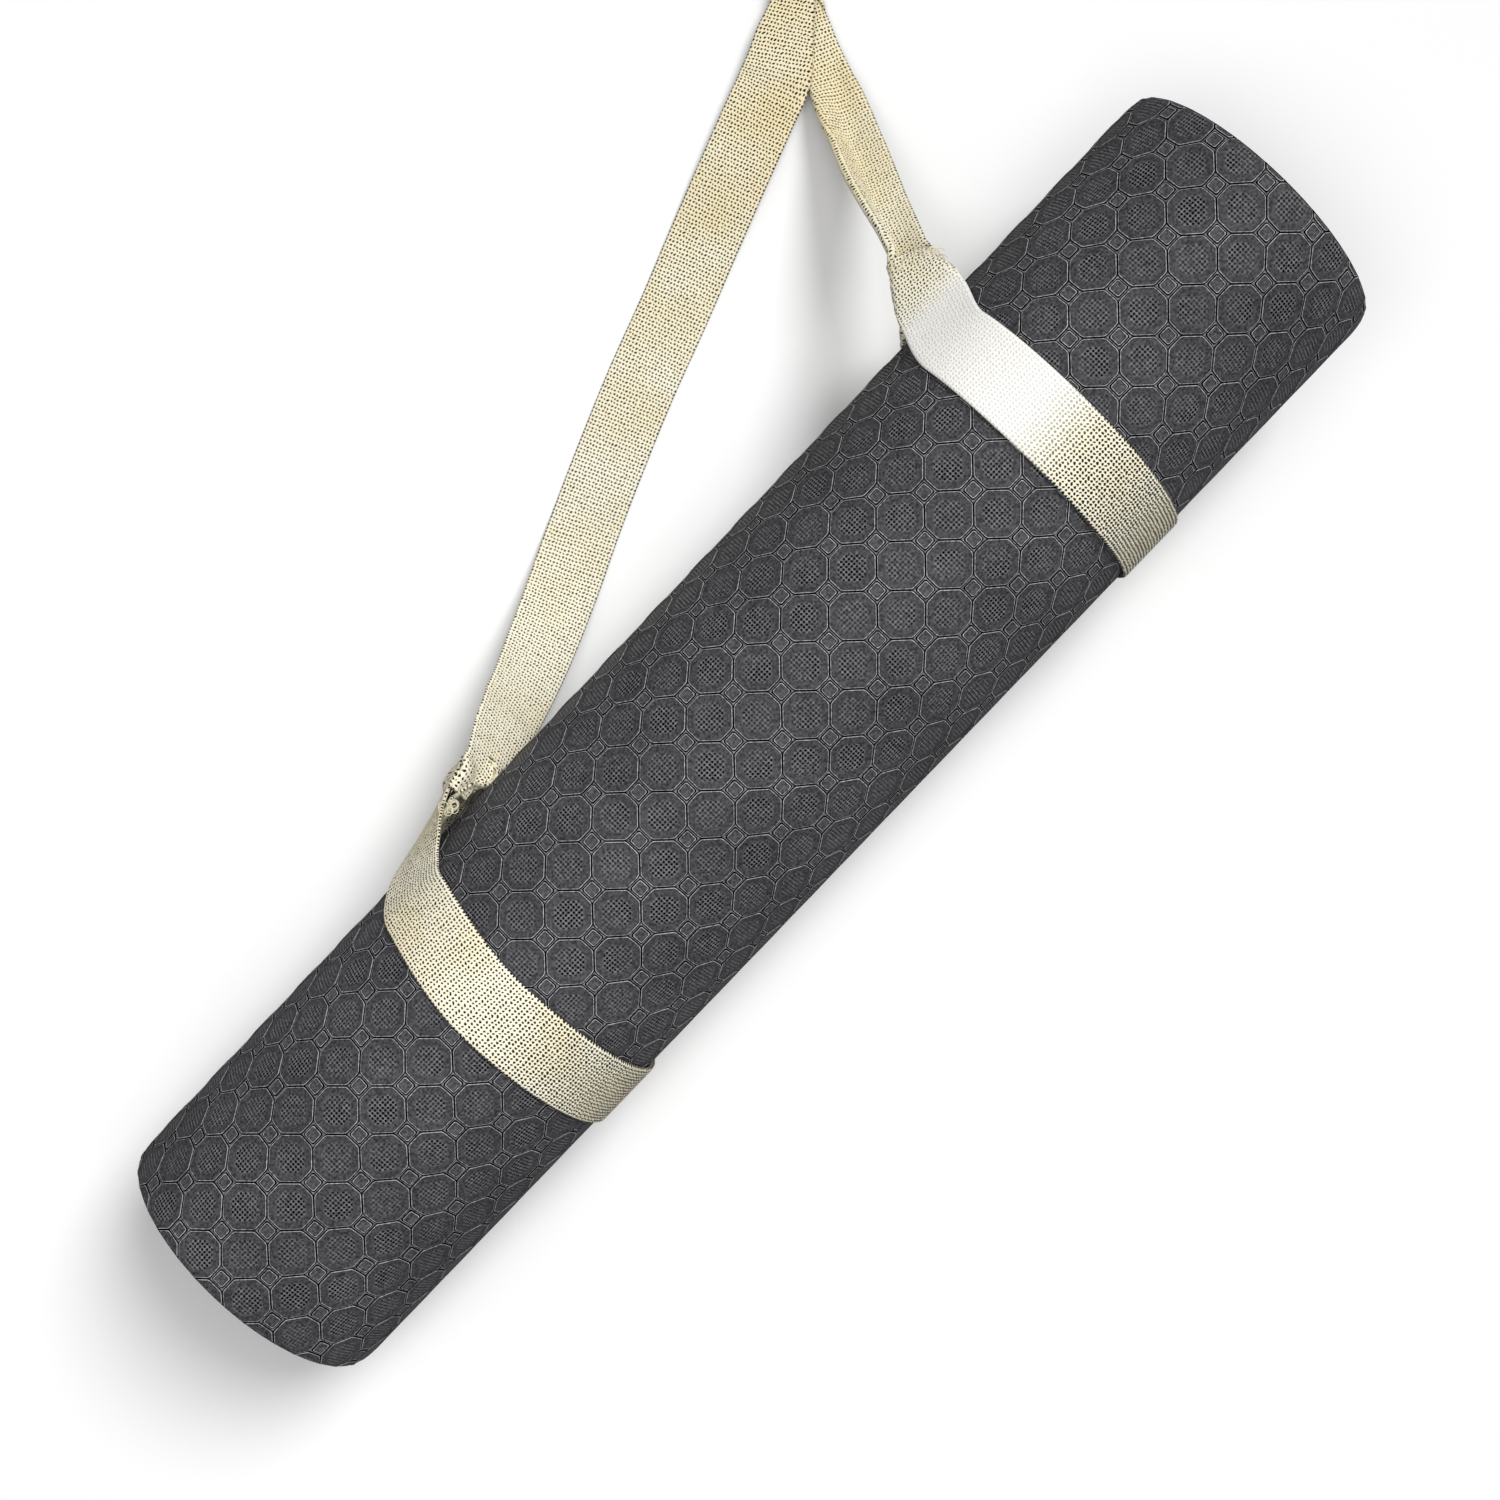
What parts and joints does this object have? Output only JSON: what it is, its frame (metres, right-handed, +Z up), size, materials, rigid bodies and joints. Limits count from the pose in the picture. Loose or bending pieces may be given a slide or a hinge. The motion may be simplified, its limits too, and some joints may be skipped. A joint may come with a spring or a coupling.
{
  "type": "yoga mat",
  "caption": "Rolled foam exercise mat held by a webbing strap whose sewn ends make slip nooses round the roll, with a free stretch for the shoulder.",
  "frame": {"origin": "on the ground under the middle of the whole object's box, with the roll lying on its side", "axes": "+X along the roll's axis, towards the noose that lies nearer the strap's apex; +Y from the roll towards the free stretch of strap; +Z up"},
  "size_m": [0.61, 0.3007, 0.1323],
  "materials": {
    "foam": "satin",
    "webbing": "woven",
    "thread": "matte"
  },
  "bodies": {
    "mat": {"mat_sheet": "foam"},
    "nooses": {"noose_lower": "webbing", "noose_upper": "webbing", "bar_tack_lower": "thread", "bar_tack_upper": "thread"},
    "carry": {"carry_strap": "webbing"}
  },
  "joints": [
    {"name": "strap_slides_off", "type": "slide", "parent": "mat", "child": "nooses", "axis": [1, 0, 0], "range_m": [-0.145, 0.47]},
    {"name": "carry_strap_lifts", "type": "hinge", "parent": "nooses", "child": "carry", "pos_m": [0, -0.00909, 0.07036], "axis": [1, 0, 0], "range_deg": [0, 115]}
  ]
}
